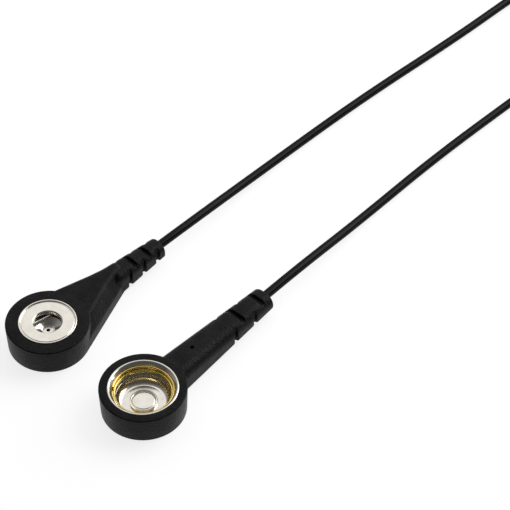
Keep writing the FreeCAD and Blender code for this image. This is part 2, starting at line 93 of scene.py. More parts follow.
@dataclass(frozen=True)
class Place:
    """Where a connector stands on the table, in millimetres, and where its tail points."""

    x: float
    y: float
    heading_deg: float

    def matrix(self) -> Matrix:
        """Turn, shift and change to metres of a piece made on the bench."""
        turn = Matrix.Rotation(math.radians(self.heading_deg), 4, "Z")
        return Matrix.Scale(MM, 4) @ Matrix.Translation((self.x, self.y, 0)) @ turn

    def point(self, x: float, y: float, z: float) -> Vector:
        """Point of the bench, in metres on the table."""
        return self.matrix() @ Vector((x, y, z))


class Shape:
    """One piece on the bench: a primitive and the steps that shape it."""

    def __init__(self, name: str, add: Callable[..., object], **sizes: object) -> None:
        """Adds the primitive.

        Args:
            name: Name of the piece.
            add: Operator that adds the primitive.
            **sizes: What the operator is given.
        """
        bpy.ops.object.select_all(action="DESELECT")
        add(**sizes)
        bpy.ops.object.transform_apply(location=True, rotation=True, scale=True)
        self.obj = bpy.context.view_layer.objects.active
        self.obj.name = self.obj.data.name = name

    @contextmanager
    def editing(self) -> Iterator[None]:
        """Edit mode on this piece alone, with nothing selected at the start."""
        self.activate()
        bpy.ops.object.mode_set(mode="EDIT")
        bpy.ops.mesh.select_mode(type="VERT")
        bpy.ops.mesh.select_all(action="DESELECT")
        yield
        bpy.ops.object.mode_set(mode="OBJECT")

    def activate(self) -> None:
        """Makes this the only selected object."""
        bpy.ops.object.select_all(action="DESELECT")
        self.obj.select_set(True)
        bpy.context.view_layer.objects.active = self.obj

    def pick(self, kind: Kind, test: Test) -> int:
        """Selects, in edit mode, what passes a test.

        Args:
            kind: What is selected.
            test: Takes an element's middle and its direction: a face's normal, an edge's
                length and way, and a vertex's normal.

        Returns:
            How many are selected.
        """
        bpy.ops.mesh.select_mode(type=kind.value)
        bpy.ops.mesh.select_all(action="DESELECT")
        mesh = bmesh.from_edit_mesh(self.obj.data)
        count = 0
        for part in {"VERT": mesh.verts, "EDGE": mesh.edges, "FACE": mesh.faces}[kind.value]:
            if kind is Kind.VERTICES:
                middle, way = part.co, part.normal
            elif kind is Kind.EDGES:
                first, last = (vert.co for vert in part.verts)
                middle, way = (first + last) / 2, last - first
            else:
                middle, way = part.calc_center_median(), part.normal
            part.select = test(middle, way)
            count += part.select
        mesh.select_flush_mode()
        bmesh.update_edit_mesh(self.obj.data)
        return count

    def draw(self, steps: Steps) -> None:
        """Draws an open outline of radii and heights in the XZ plane from one vertex.

        Args:
            steps: Radius, height and, where the corner is round, its rounding.
        """
        bpy.ops.mesh.select_all(action="SELECT")
        bpy.ops.mesh.merge(type="CENTER")
        for before, step in zip(steps, steps[1:]):
            move = (step[0] - before[0], 0, step[1] - before[1])
            bpy.ops.mesh.extrude_vertices_move(TRANSFORM_OT_translate={"value": move})
        for step in steps:
            if len(step) > 2:
                corner = Vector((step[0], 0, step[1]))
                self.pick(Kind.VERTICES, lambda at, _: (at - corner).length < TINY)
                bpy.ops.mesh.bevel(
                    offset=step[2], segments=ROUND_SEGMENTS, affect="VERTICES", clamp_overlap=True
                )

    def merge(self) -> None:
        """Merges doubles and turns all faces outwards."""
        bpy.ops.mesh.select_mode(type="VERT")
        bpy.ops.mesh.select_all(action="SELECT")
        bpy.ops.mesh.remove_doubles(threshold=TINY)
        bpy.ops.mesh.normals_make_consistent(inside=False)

    def apply(self, kind: str, **settings: object) -> None:
        """Adds a modifier with its settings and applies it.

        Args:
            kind: Type of the modifier.
            **settings: Its properties.
        """
        self.activate()
        modifier = self.obj.modifiers.new(kind.lower(), kind)
        for name, value in settings.items():
            setattr(modifier, name, value)
        bpy.ops.object.modifier_apply(modifier=modifier.name)

    def combine(self, other: "Shape", operation: str) -> None:
        """Joins, cuts or keeps the overlap with another shape, which is then removed.

        Args:
            other: The other shape.
            operation: UNION, DIFFERENCE or INTERSECT.
        """
        self.apply("BOOLEAN", object=other.obj, operation=operation, solver="EXACT")
        bpy.data.objects.remove(other.obj)

    def smooth(self, angle_deg: float = 30.0) -> None:
        """Smooth shading up to an angle between faces."""
        self.activate()
        bpy.ops.object.shade_smooth_by_angle(angle=math.radians(angle_deg))

    def turn(self, angle_deg: float, x: float = 0.0) -> None:
        """Turns the piece about an upright line at x.

        Args:
            angle_deg: Angle, towards +Y.
            x: Where the line stands.
        """
        there = Matrix.Translation((x, 0, 0))
        turn = Matrix.Rotation(math.radians(angle_deg), 4, "Z")
        self.obj.data.transform(there @ turn @ there.inverted())

    def seat(self, place: Place) -> bpy.types.Object:
        """Puts the mesh in its place on the table and leaves the object at the origin.

        Args:
            place: Where its connector stands.

        Returns:
            The object.
        """
        self.obj.data.transform(place.matrix())
        self.obj.matrix_world = Matrix.Identity(4)
        return self.obj


def turned(name: str, steps: Steps, sides: int = 96, closed: bool = True) -> Shape:
    """Piece turned about Z.

    Args:
        name: Name of the piece.
        steps: Its outline, as radius, height and, where the corner is round, its rounding.
        sides: Faces round the piece.
        closed: Whether the outline closes on itself and not on the axis.

    Returns:
        The piece.
    """
    first = (steps[0][0], 0, steps[0][1])
    shape = Shape(name, bpy.ops.mesh.primitive_plane_add, size=0.1, location=(0, 0, 0))
    with shape.editing():
        bpy.ops.mesh.select_all(action="SELECT")
        bpy.ops.transform.translate(value=first)
        shape.draw(steps)
        if closed:
            ends = [Vector((steps[i][0], 0, steps[i][1])) for i in (0, -1)]
            shape.pick(Kind.VERTICES, lambda at, _: min((at - end).length for end in ends) < TINY)
            bpy.ops.mesh.edge_face_add()
        bpy.ops.mesh.select_all(action="SELECT")
        bpy.ops.mesh.spin(
            steps=sides, angle=math.tau, center=(0, 0, 0), axis=(0, 0, 1), use_auto_merge=True
        )
        shape.merge()
    shape.smooth()
    return shape


def box(name: str, low: Sequence[float], high: Sequence[float]) -> Shape:
    """Box between two corners.

    Args:
        name: Name of the piece.
        low: Its corner with the smallest values.
        high: The opposite corner.

    Returns:
        The piece.
    """
    size = [b - a for a, b in zip(low, high)]
    middle = [(a + b) / 2 for a, b in zip(low, high)]
    shape = Shape(name, bpy.ops.mesh.primitive_cube_add, size=1, location=middle)
    with shape.editing():
        bpy.ops.mesh.select_all(action="SELECT")
        bpy.ops.transform.resize(value=size, center_override=middle)
    return shape


def put(name: str, data: bpy.types.ID) -> bpy.types.Object:
    """Object in the scene for a curve, a light or a camera.

    Args:
        name: Name of the object.
        data: What it shows.

    Returns:
        The object.
    """
    obj = bpy.data.objects.new(name, data)
    bpy.context.scene.collection.objects.link(obj)
    return obj


def aim(obj: bpy.types.Object, at: Vector, way: Vector) -> None:
    """Stands a light or a camera at a place in millimetres, and points it a way."""
    turn = way.to_track_quat("-Z", "Y").to_matrix().to_4x4()
    obj.matrix_world = Matrix.Translation(at * MM) @ turn


# Shader graphs


class Graph:
    """Node tree of a material or a node group, with short ways to fill it."""

    def __init__(self, tree: bpy.types.NodeTree) -> None:
        """Takes the tree and empties it."""
        self.tree = tree
        tree.nodes.clear()

    def add(
        self, kind: str, inputs: dict[str | int, object] | None = None, **settings: object
    ) -> bpy.types.Node:
        """Adds a node.

        Args:
            kind: Its type.
            inputs: Sockets by name or number, each with a value or another node's output.
            **settings: Its properties.

        Returns:
            The node.
        """
        node = self.tree.nodes.new(kind)
        for name, value in settings.items():
            setattr(node, name, value)
        for name, value in (inputs or {}).items():
            if isinstance(value, Socket):
                self.tree.links.new(value, node.inputs[name])
            else:
                node.inputs[name].default_value = value
        return node

    def noise(self, place: Socket, scale: float | Socket, detail: float) -> Socket:
        """Even noise of a scale per metre."""
        inputs = {"Vector": place, "Scale": scale, "Detail": detail}
        return self.add("ShaderNodeTexNoise", inputs).outputs["Fac"]

    def math(self, operation: str, *values: object) -> Socket:
        """One step of arithmetic."""
        node = self.add("ShaderNodeMath", dict(enumerate(values)), operation=operation)
        return node.outputs[0]

    def span(
        self, value: Socket, low: float, high: float, to_low: float = 0.0, to_high: float = 1.0
    ) -> Socket:
        """Value brought from one range to another, and held inside it.

        Args:
            value: The value.
            low: Start of its range.
            high: End of its range.
            to_low: What the start becomes.
            to_high: What the end becomes.

        Returns:
            The new value.
        """
        inputs = {
            "Value": value, "From Min": low, "From Max": high, "To Min": to_low, "To Max": to_high,
        }
        return self.add("ShaderNodeMapRange", inputs, clamp=True).outputs["Result"]

    def blend(self, share: object, first: object, second: object) -> Socket:
        """Mix of two colours.

        Args:
            share: Share of the second colour.
            first: First colour.
            second: Second colour.

        Returns:
            The mixed colour.
        """
        node = self.add("ShaderNodeMix", data_type="RGBA")
        for name, value in (("Factor_Float", share), ("A_Color", first), ("B_Color", second)):
            socket = next(s for s in node.inputs if s.identifier == name)
            if isinstance(value, Socket):
                self.tree.links.new(value, socket)
            else:
                socket.default_value = value
        return next(s for s in node.outputs if s.identifier == "Result_Color")


def new_material(name: str) -> tuple[bpy.types.Material, Graph]:
    """Material and its empty graph.

    Args:
        name: Name of the material.

    Returns:
        The material and its graph.
    """
    material = bpy.data.materials.new(name)
    material.use_nodes = True
    return material, Graph(material.node_tree)


def new_group(
    name: str, takes: dict[str, float], gives: Sequence[str]
) -> tuple[bpy.types.NodeTree, Graph, bpy.types.Node]:
    """Node group whose sockets are numbers.

    Args:
        name: Name of the group.
        takes: Its inputs with their usual values.
        gives: Its outputs.

    Returns:
        The group, its graph and its input node.
    """
    tree = bpy.data.node_groups.new(name, "ShaderNodeTree")
    graph = Graph(tree)
    for label, value in takes.items():
        socket = tree.interface.new_socket(label, in_out="INPUT", socket_type="NodeSocketFloat")
        socket.default_value = value
    for label in gives:
        tree.interface.new_socket(label, in_out="OUTPUT", socket_type="NodeSocketFloat")
    return tree, graph, graph.add("NodeGroupInput")


def mould_grain() -> bpy.types.NodeTree:
    """Fine leathery grain of a spark-eroded mould, with soft patches and bright specks.

    Returns:
        The node group.
    """
    tree, graph, given = new_group(
        "mould_grain",
        {"Scale": 3200.0, "Patch Scale": 420.0, "Speck Scale": 5200.0},
        ("Height", "Patch", "Speck"),
    )
    scale, patch_scale, speck_scale = given.outputs[:3]
    place = graph.add("ShaderNodeTexCoord").outputs["Object"]
    inputs = {"Vector": place, "Scale": scale, "Randomness": 1.0}
    cells = graph.add("ShaderNodeTexVoronoi", inputs, feature="SMOOTH_F1").outputs["Distance"]
    fine_share = 0.8
    fine = graph.math("MULTIPLY", graph.noise(place, scale, 2.0), fine_share)
    graph.add("NodeGroupOutput", {
        "Height": graph.math("ADD", cells, fine),
        "Patch": graph.span(graph.noise(place, patch_scale, 4.0), 0.35, 0.7),
        "Speck": graph.span(graph.noise(place, speck_scale, 1.0), 0.71, 0.76),
    })
    return tree


def tool_marks() -> bpy.types.NodeTree:
    """Fine lines and soft haze of handled metal.

    Returns:
        The node group.
    """
    tree, graph, given = new_group(
        "tool_marks", {"Scale": 900.0, "Haze Scale": 700.0}, ("Height", "Haze")
    )
    scale, haze_scale = given.outputs[:2]
    place = graph.add("ShaderNodeTexCoord").outputs["Object"]
    inputs = {"Vector": place, "Scale": (6.0, 0.6, 1.0), "Rotation": (0.0, 0.0, 0.6)}
    stretched = graph.add("ShaderNodeMapping", inputs).outputs[0]
    graph.add("NodeGroupOutput", {
        "Height": graph.noise(stretched, scale, 3.0),
        "Haze": graph.span(graph.noise(place, haze_scale, 4.0), 0.35, 0.65),
    })
    return tree


@dataclass(frozen=True)
class Plastic:
    """Moulded or extruded plastic: its colours, gloss and grain, in metres."""

    slot: Slot
    colour: Colour
    pale: Colour
    roughness: float
    specular: float
    grain_scale: float
    grain_depth: float
    speck_share: float = 0.0
    gloss: float = 0.0
    speck: Colour = (0.16, 0.16, 0.17)
    patch_roughness: tuple[float, float] = (1.08, 0.9)

    def build(self, grain: bpy.types.NodeTree) -> bpy.types.Material:
        """Material with the grain in its bump and its patches in colour and gloss.

        Args:
            grain: The group mould_grain.

        Returns:
            The material.
        """
        material, graph = new_material(f"{self.slot.value}_finish")
        worn = graph.add("ShaderNodeGroup", node_tree=grain)
        worn.inputs["Scale"].default_value = self.grain_scale
        height, patch, speck = (worn.outputs[name] for name in ("Height", "Patch", "Speck"))
        colour = graph.blend(patch, (*self.colour, 1), (*self.pale, 1))
        share = graph.math("MULTIPLY", speck, self.speck_share)
        rough = (self.roughness * factor for factor in self.patch_roughness)
        bump = graph.add(
            "ShaderNodeBump", {"Height": height, "Distance": self.grain_depth, "Strength": 1.0}
        )
        shader = graph.add("ShaderNodeBsdfPrincipled", {
            "Base Color": graph.blend(share, colour, (*self.speck, 1)),
            "Roughness": graph.span(patch, 0.0, 1.0, *rough),
            "Normal": bump.outputs["Normal"],
            "Specular IOR Level": self.specular,
            "Coat Roughness": 0.22,
        })
        if self.gloss:
            facing = graph.add("ShaderNodeLayerWeight", {"Blend": 0.5}).outputs["Facing"]
            coat = graph.span(facing, 0.3, 0.7, self.gloss, 0.0)
            graph.tree.links.new(coat, shader.inputs["Coat Weight"])
        graph.add("ShaderNodeOutputMaterial", {"Surface": shader.outputs[0]})
        return material


@dataclass(frozen=True)
class Metal:
    """Plated, tinned or bare metal, and on a cup's wall a painted reflection of the gold ring.

    The painted reflection starts between the radii of its start pair, ends between those of its
    end pair, and is faint between the two middle of its heights, all in millimetres. It is strong
    again at the wall's foot, where it also paints the warm shade in the floor's corner.
    """

    slot: Slot
    colour: Colour
    dull: Colour
    roughness: float
    mark_depth: float
    ring_reflection: Colour | None = None
    reflection_start: tuple[float, float] = (3.9, 4.5)
    reflection_end: tuple[float, float] = (5.26, 5.3)
    reflection_z: tuple[float, float, float, float] = (1.5, 2.5, 3.1, 3.8)
    reflection_shares: tuple[float, float, float] = (0.8, 0.2, 1.0)
    haze_roughness: tuple[float, float] = (0.8, 1.3)

    def with_ring_reflection(self, graph: Graph, colour: Socket) -> Socket:
        """Colour with a painted reflection of the gold ring on a cup's wall, fainter halfway up.

        Args:
            graph: The material's graph.
            colour: Colour of the bare metal.

        Returns:
            The colour.
        """
        place = graph.add("ShaderNodeTexCoord").outputs["Object"]
        apart = graph.add("ShaderNodeSeparateXYZ", {"Vector": place}).outputs
        flat = graph.add("ShaderNodeCombineXYZ", {"X": apart["X"], "Y": apart["Y"]}).outputs[0]
        radius = graph.add("ShaderNodeVectorMath", {0: flat}, operation="LENGTH").outputs["Value"]
        wall = graph.span(radius, *(r * MM for r in self.reflection_start))
        # Painted ring reflection: strong just under the ring, faint halfway down, and strong again
        # at the foot, where it also paints the warm shade in the floor's corner.
        inside = graph.span(radius, *(r * MM for r in self.reflection_end), 1.0, 0.0)
        low, faint_low, faint_high, high = (z * MM for z in self.reflection_z)
        at_foot, halfway, at_top = self.reflection_shares
        fuller = graph.math(
            "MAXIMUM",
            graph.span(apart["Z"], low, faint_low, at_foot, halfway),
            graph.span(apart["Z"], faint_high, high, halfway, at_top),
        )
        share = graph.math("MULTIPLY", graph.math("MULTIPLY", wall, inside), fuller)
        return graph.blend(share, colour, (*self.ring_reflection, 1))

    def build(self, marks: bpy.types.NodeTree) -> bpy.types.Material:
        """Material with the marks in its bump and haze in its colour and gloss.

        Args:
            marks: The group tool_marks.

        Returns:
            The material.
        """
        material, graph = new_material(f"{self.slot.value}_finish")
        worn = graph.add("ShaderNodeGroup", node_tree=marks)
        height, haze = worn.outputs["Height"], worn.outputs["Haze"]
        colour = graph.blend(haze, (*self.colour, 1), (*self.dull, 1))
        # The cup's wall gets a painted reflection of the gold ring spring and painted warm shade at
        # its foot.
        if self.ring_reflection:
            colour = self.with_ring_reflection(graph, colour)
        rough = (self.roughness * factor for factor in self.haze_roughness)
        bump = graph.add(
            "ShaderNodeBump", {"Height": height, "Distance": self.mark_depth, "Strength": 0.5}
        )
        shader = graph.add("ShaderNodeBsdfPrincipled", {
            "Base Color": colour,
            "Roughness": graph.span(haze, 0.0, 1.0, *rough),
            "Normal": bump.outputs["Normal"],
            "Metallic": 1.0,
        })
        graph.add("ShaderNodeOutputMaterial", {"Surface": shader.outputs[0]})
        return material


PLASTICS = (
    Plastic(
        Slot.BLACK_PVC, (0.0024, 0.0024, 0.0026), (0.0095, 0.0095, 0.0115), 0.42, 0.12, 2700.0,
        5.0e-5, speck_share=0.24,
    ),
    Plastic(
        Slot.CORD_JACKET, (0.004, 0.004, 0.004), (0.006, 0.006, 0.0065), 0.3, 0.03, 5200.0,
        1.0e-6, gloss=0.16,
    ),
    Plastic(
        Slot.SHRINK_SLEEVE, (0.006, 0.006, 0.006), (0.010, 0.010, 0.010), 0.45, 0.4, 2000.0, 4e-6
    ),
    Plastic(Slot.CERAMIC, (0.55, 0.50, 0.42), (0.63, 0.58, 0.50), 0.4, 0.5, 1500.0, 3e-6),
    Plastic(
        Slot.TIE_STRAP, (0.008, 0.008, 0.009), (0.014, 0.014, 0.015), 0.55, 0.4, 2600.0, 1.2e-5
    ),
)
METALS = (
    Metal(Slot.NICKEL, (0.81, 0.78, 0.71), (0.76, 0.72, 0.65), 0.17, 5e-7),
    Metal(Slot.GILT_SPRING, (0.90, 0.70, 0.24), (0.80, 0.58, 0.18), 0.16, 1e-7),
    Metal(Slot.SPRING_STEEL, (0.74, 0.72, 0.68), (0.66, 0.64, 0.60), 0.18, 2e-7),
    Metal(Slot.TINNED_METAL, (0.70, 0.70, 0.69), (0.60, 0.60, 0.59), 0.35, 2e-6),
)
# Nickel of the cup, with the gold ring spring's reflection painted on its wall.
CUP_METAL = Metal(
    Slot.NICKEL, (0.81, 0.78, 0.71), (0.76, 0.72, 0.65), 0.15, 4e-7, ring_reflection=(0.80, 0.63, 0.20)
)


class Finishes:
    """The materials by slot, and the cup's own, with a painted ring reflection on its wall."""

    def __init__(self) -> None:
        """Builds each finish once."""
        grain, marks = mould_grain(), tool_marks()
        self.by_slot = {plastic.slot: plastic.build(grain) for plastic in PLASTICS}
        self.by_slot.update({metal.slot: metal.build(marks) for metal in METALS})
        self.by_piece = {"socket_cup": CUP_METAL.build(marks)}

    def dress(self, obj: bpy.types.Object, slot: Slot) -> None:
        """Gives an object its own material or its slot's."""
        obj.data.materials.clear()
        obj.data.materials.append(self.by_piece.get(obj.name, self.by_slot[slot]))


@dataclass
class Assembly:
    """What the sub-assemblies share: their finishes and how a piece is fitted."""

    finishes: Finishes

    def fit(self, obj: bpy.types.Object, slot: Slot, body: str, *nodes: str) -> bpy.types.Object:
        """Dresses a finished piece, puts it on its body and stands it for its CAD nodes.

        Args:
            obj: The piece.
            slot: Its finish.
            body: The body that it moves with.
            *nodes: CAD nodes that it replaces.

        Returns:
            The piece.
        """
        self.finishes.dress(obj, slot)
        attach(obj, body)
        if nodes:
            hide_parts(*nodes)
        faces = len(obj.data.polygons) if obj.type == "MESH" else 0
        log.info("%s on %s, %s faces", obj.name, body, faces)
        return obj


# Large socket


LARGE_PLACE = Place(0.0, 0.0, 48.45)


@dataclass
class LargeSocket(Assembly):
    """Drawn cup for a 10 mm stud with its ring spring and rivet."""

    place: Place = LARGE_PLACE
    ring_r: float = 5.15
    ring_z: float = 4.35
    wire_d: float = 0.5
    gap_deg: float = 14.0
    gap_at_deg: float = 118.0
    crown_r: float = 1.9
    crown_z: float = 1.9
    crown_drop: float = 0.1

    def build(self) -> None:
        """Models and fits the socket's three pieces."""
        self.fit(self.cup(), Slot.NICKEL, BODY, "large_socket_cup")
        self.fit(self.ring(), Slot.GILT_SPRING, "ring", "ring_spring")
        self.fit(self.rivet(), Slot.NICKEL, BODY, "large_rivet")

    def cup(self) -> bpy.types.Object:
        """Cup with a rolled rim, a groove for the ring, a ledge and a soft floor corner.

        Returns:
            The cup.
        """
        shape = turned("socket_cup", [
            (0.9, 1.1), (4.95, 1.1, 0.3), (4.95, 3.75), (5.75, 3.75, 0.12), (5.75, 4.6, 0.1),
            (6.05, 4.85, 0.05), (6.05, 5.25, 0.18), (5.7, 5.25, 0.14), (5.25, 4.72, 0.05),
            (5.25, 4.62, 0.03), (5.45, 4.6), (5.45, 4.05), (4.65, 4.05, 0.15), (4.65, 2.86, 0.03),
            (4.74, 2.78, 0.02), (4.65, 2.72, 0.02), (4.65, 1.4, 1.25), (0.9, 1.4),
        ], sides=128)
        return shape.seat(self.place)

    def ring(self) -> bpy.types.Object:
        """Split ring of round spring wire.

        Returns:
            The ring, with its gap.
        """
        shape = Shape(
            "split_ring", bpy.ops.mesh.primitive_circle_add, vertices=20, radius=self.wire_d / 2,
            fill_type="NGON", location=(self.ring_r, 0, self.ring_z), rotation=(math.pi / 2, 0, 0),
        )
        sweep = math.tau - math.radians(self.gap_deg)
        with shape.editing():
            bpy.ops.mesh.select_all(action="SELECT")
            bpy.ops.mesh.spin(steps=150, angle=sweep, center=(0, 0, 0), axis=(0, 0, 1))
            shape.merge()
        shape.turn(self.gap_at_deg + self.gap_deg / 2)
        shape.smooth(40)
        return shape.seat(self.place)

    def rivet(self) -> bpy.types.Object:
        """Low-domed head with a line inside its edge, shank and set tail.

        Returns:
            The rivet.
        """
        crown = [
            (r, self.crown_z - self.crown_drop * (r / self.crown_r) ** 2)
            for r in (self.crown_r, 1.65, 1.4, 1.15, 0.8, 0.45, 0.2)
        ]
        shape = turned("cup_rivet", [
            (0, 0.6), (1.5, 0.6, 0.08), (1.5, 0.85), (0.9, 0.85), (0.9, 1.4), (2.35, 1.4),
            (2.35, 1.86, 0.14), (2.1, 1.89, 0.05), (1.97, 1.76, 0.03), *crown, (0, self.crown_z),
        ], sides=72, closed=False)
        return shape.seat(self.place)


# Small socket


SMALL_PLACE = Place(-16.78, 14.65, 50.5)


@dataclass
class SmallSocket(Assembly):
    """Face plate, base shell, retaining wires and eyelet for a 4 mm stud."""

    place: Place = SMALL_PLACE
    chamber_r: float = 3.3
    wire_d: float = 0.5
    wire_z: float = 3.95
    wire_offset: float = 1.85
    wire_reach: float = 2.45
    end_gap: float = 0.1
    turn_deg: float = -12.2

    def build(self) -> None:
        """Models and fits the socket's five pieces."""
        self.fit(self.face_plate(), Slot.NICKEL, BODY, "small_face_plate")
        self.fit(self.base_shell(), Slot.NICKEL, BODY, "small_socket_base")
        self.fit(self.eyelet(), Slot.NICKEL, BODY, "small_eyelet")
        for way, side in (("left", 1), ("right", -1)):
            wire = self.wire(f"retaining_wire_{way}", side)
            self.fit(wire, Slot.SPRING_STEEL, f"spring_{way}", f"small_spring_{way}")

    def face_plate(self) -> bpy.types.Object:
        """Plate with a raised bead round its edge, a skirt and a drawn throat.

        Returns:
            The plate.
        """
        shape = turned("face_plate", [
            (2.4, 4.25), (2.4, 5.1, 0.28), (4.52, 5.1, 0.04), (4.6, 5.03, 0.03), (4.7, 5.03, 0.03),
            (4.78, 5.25, 0.07), (5.05, 5.25, 0.1), (5.05, 4.25), (4.8, 4.25), (4.8, 4.85),
            (2.65, 4.85, 0.1), (2.65, 4.25),
        ], sides=128)
        return shape.seat(self.place)

    def base_shell(self) -> bpy.types.Object:
        """Flange, chamber, seat for the wires and a conical floor.

        Returns:
            The shell.
        """
        shape = turned("base_shell", [
            (0.55, 2.5), (1.1, 2.5), (2.5, 3.4, 0.1), (3.55, 3.4, 0.1), (3.55, 4.6), (4.8, 4.6),
            (4.8, 4.85), (self.chamber_r, 4.85, 0.08), (self.chamber_r, 3.65), (2.5, 3.65, 0.1),
            (1.1, 2.75, 0.15), (0.55, 2.75),
        ])
        return shape.seat(self.place)

    def eyelet(self) -> bpy.types.Object:
        """Hollow rivet with a rolled flange.

        Returns:
            The eyelet.
        """
        shape = turned("floor_eyelet", [
            (0.35, 2.0, 0.05), (1.0, 2.0, 0.05), (1.0, 2.25), (0.55, 2.25), (0.55, 2.75),
            (1.0, 2.75), (1.0, 2.95, 0.08), (0.35, 2.95, 0.12),
        ], sides=48)
        return shape.seat(self.place)

    def wire(self, name: str, side: int) -> bpy.types.Object:
        """Straight retaining wire beside the throat, clear of the chamber also when spread.

        Args:
            name: Name of the piece.
            side: 1 for the left wire and -1 for the right one.

        Returns:
            The wire.
        """
        half = math.sqrt(self.chamber_r**2 - self.wire_reach**2) - self.end_gap
        shape = Shape(
            name, bpy.ops.mesh.primitive_cylinder_add, vertices=24, radius=self.wire_d / 2,
            depth=2 * half, location=(0, side * self.wire_offset, self.wire_z),
            rotation=(0, math.pi / 2, 0),
        )
        shape.apply("BEVEL", width=0.05, segments=3, limit_method="ANGLE")
        shape.turn(self.turn_deg)
        shape.smooth()
        return shape.seat(self.place)


# Housings


@dataclass(frozen=True)
class Taper:
    """Size that changes evenly along the tail."""

    start: float
    end: float
    widths: tuple[float, float]
    heights: tuple[float, float]

    def at(self, x: float) -> tuple[float, float]:
        """Width and height at x."""
        share = (x - self.start) / (self.end - self.start)
        return tuple(a + (b - a) * share for a, b in (self.widths, self.heights))


@dataclass
class Housing(Assembly):
    """A moulding: a disc, a slotted tail with soft edges and the socket's bore.

    Its measures are in millimetres, and x is counted from the socket's axis along the tail.
    """

    name: str
    node: str
    place: Place
    radius: float
    height: float
    bore: Steps
    taper: Taper
    tail_start: float
    shoulder: float
    root: float
    first_slot: float
    slot_pitch: float
    slot_count: int
    evening: int
    foot: float = 0.5
    foot_margin: float = 0.25
    end: float = 0.22
    slot_w: float = 0.85
    top_depth: float = 0.68
    side_depth: float = 0.72
    side_foot: float = -0.6
    web: float = 0.25
    overshoot: float = 1.0
    grid: float = 0.12

    def build(self) -> None:
        """Models and fits the moulding."""
        tail = self.finished_tail()
        shape = self.disc()
        shape.combine(tail, "UNION")
        shape.combine(turned("bore", self.bore, sides=160, closed=False), "DIFFERENCE")
        shape.smooth(35)
        self.fit(shape.seat(self.place), Slot.BLACK_PVC, BODY, self.node)

    def finished_tail(self) -> Shape:
        """Tail with its slots and soft edges.

        Returns:
            The tail.
        """
        shape = self.tail()
        self.cut_slots(shape)
        self.soften(shape)
        return shape

    def disc(self) -> Shape:
        """Drafted disc with a tight round at its top edge and a bevelled foot.

        Returns:
            The disc.
        """
        return turned(self.name, [
            (0, 0), (self.radius - 0.35, 0), (self.radius - 0.2, 0.15, 0.07),
            (self.radius, self.height, 0.2), (0, self.height),
        ], sides=160, closed=False)

    def tail(self) -> Shape:
        """Tail that narrows evenly, with round shoulders, small feet and a soft end.

        Returns:
            The plain tail.
        """
        first, last = self.tail_start, self.taper.end
        (w0, h0), (w1, h1) = self.taper.at(first), self.taper.at(last)
        foot_z = AXIS_Z - h1 / 2 + self.foot_margin
        shape = box("tail", (first, -w0 / 2, AXIS_Z - h0 / 2), (last, w0 / 2, AXIS_Z + h0 / 2))
        with shape.editing():
            shape.pick(Kind.FACES, lambda at, _: at.x > last - TINY)
            bpy.ops.transform.resize(
                value=(1, w1 / w0, h1 / h0), center_override=(last, 0, AXIS_Z)
            )
            shape.pick(Kind.EDGES, lambda at, way: abs(way.x) > LONG_EDGE and at.z > AXIS_Z)
            bpy.ops.mesh.bevel(offset=self.shoulder, segments=12, affect="EDGES")
            shape.pick(Kind.EDGES, lambda at, way: abs(way.x) > LONG_EDGE and at.z < foot_z)
            bpy.ops.mesh.bevel(offset=self.foot, segments=5, affect="EDGES")
            shape.pick(Kind.FACES, lambda _, way: way.x > FACING)
            bpy.ops.mesh.bevel(offset=self.end, segments=4, affect="EDGES")
            shape.pick(Kind.FACES, lambda _, way: way.x < -FACING)
            bpy.ops.mesh.bevel(offset=self.root, segments=8, affect="EDGES")
        return shape

    def cut_slots(self, shape: Shape) -> None:
        """Cuts slots by turns up both sides and over the shoulders, and across top and bottom.

        Args:
            shape: The tail.
        """
        for i in range(self.slot_count):
            x = self.first_slot + i * self.slot_pitch
            width, height = self.taper.at(x)
            for side in (-1, 1):
                if i % 2 == 0:
                    left, right = sorted(
                        (side * (width / 2 - self.side_depth), side * (width / 2 + self.overshoot))
                    )
                    low, high = -height / 2 + self.side_foot, height / 2 + self.overshoot
                else:
                    left, right = -width / 2 + self.web, width / 2 - self.web
                    low, high = sorted(
                        (side * (height / 2 - self.top_depth), side * (height / 2 + self.overshoot))
                    )
                near, far = x - self.slot_w / 2, x + self.slot_w / 2
                cutter = box("slot", (near, left, AXIS_Z + low), (far, right, AXIS_Z + high))
                shape.combine(cutter, "DIFFERENCE")

    def soften(self, shape: Shape) -> None:
        """Rounds every edge as soft moulding does, and evens the faces out."""
        shape.apply("REMESH", mode="VOXEL", voxel_size=self.grid, use_smooth_shade=True)
        shape.apply("SMOOTH", factor=0.5, iterations=self.evening)


@dataclass
class LargeHousing(Housing):
    """Disc, half-barrel and slotted strain relief of the large connector."""

    name: str = "large_moulding"
    node: str = "large_housing"
    place: Place = LARGE_PLACE
    radius: float = 7.45
    height: float = 5.2
    bore: Steps = (
        (0, 1.1), (4.95, 1.1), (4.95, 3.75), (5.75, 3.75), (5.75, 4.55), (6.05, 4.85), (6.05, 6.5),
        (0, 6.5),
    )
    taper: Taper = Taper(7.45, 30.45, (6.25, 4.5), (4.7, 2.8))
    tail_start: float = 6.4
    shoulder: float = 1.9
    root: float = 0.3
    first_slot: float = 20.35
    slot_pitch: float = 2.6
    slot_count: int = 4
    evening: int = 7
    mark_at: Point = (12.2, 0.15, 4.65)
    mark_r: float = 0.36

    def finished_tail(self) -> Shape:
        """Soft tail with the round mark of an ejector pin.

        Returns:
            The tail.
        """
        shape = super().finished_tail()
        mark = Shape(
            "pin_mark", bpy.ops.mesh.primitive_cylinder_add, vertices=24, radius=self.mark_r,
            depth=1.0, location=self.mark_at,
        )
        shape.combine(mark, "DIFFERENCE")
        return shape


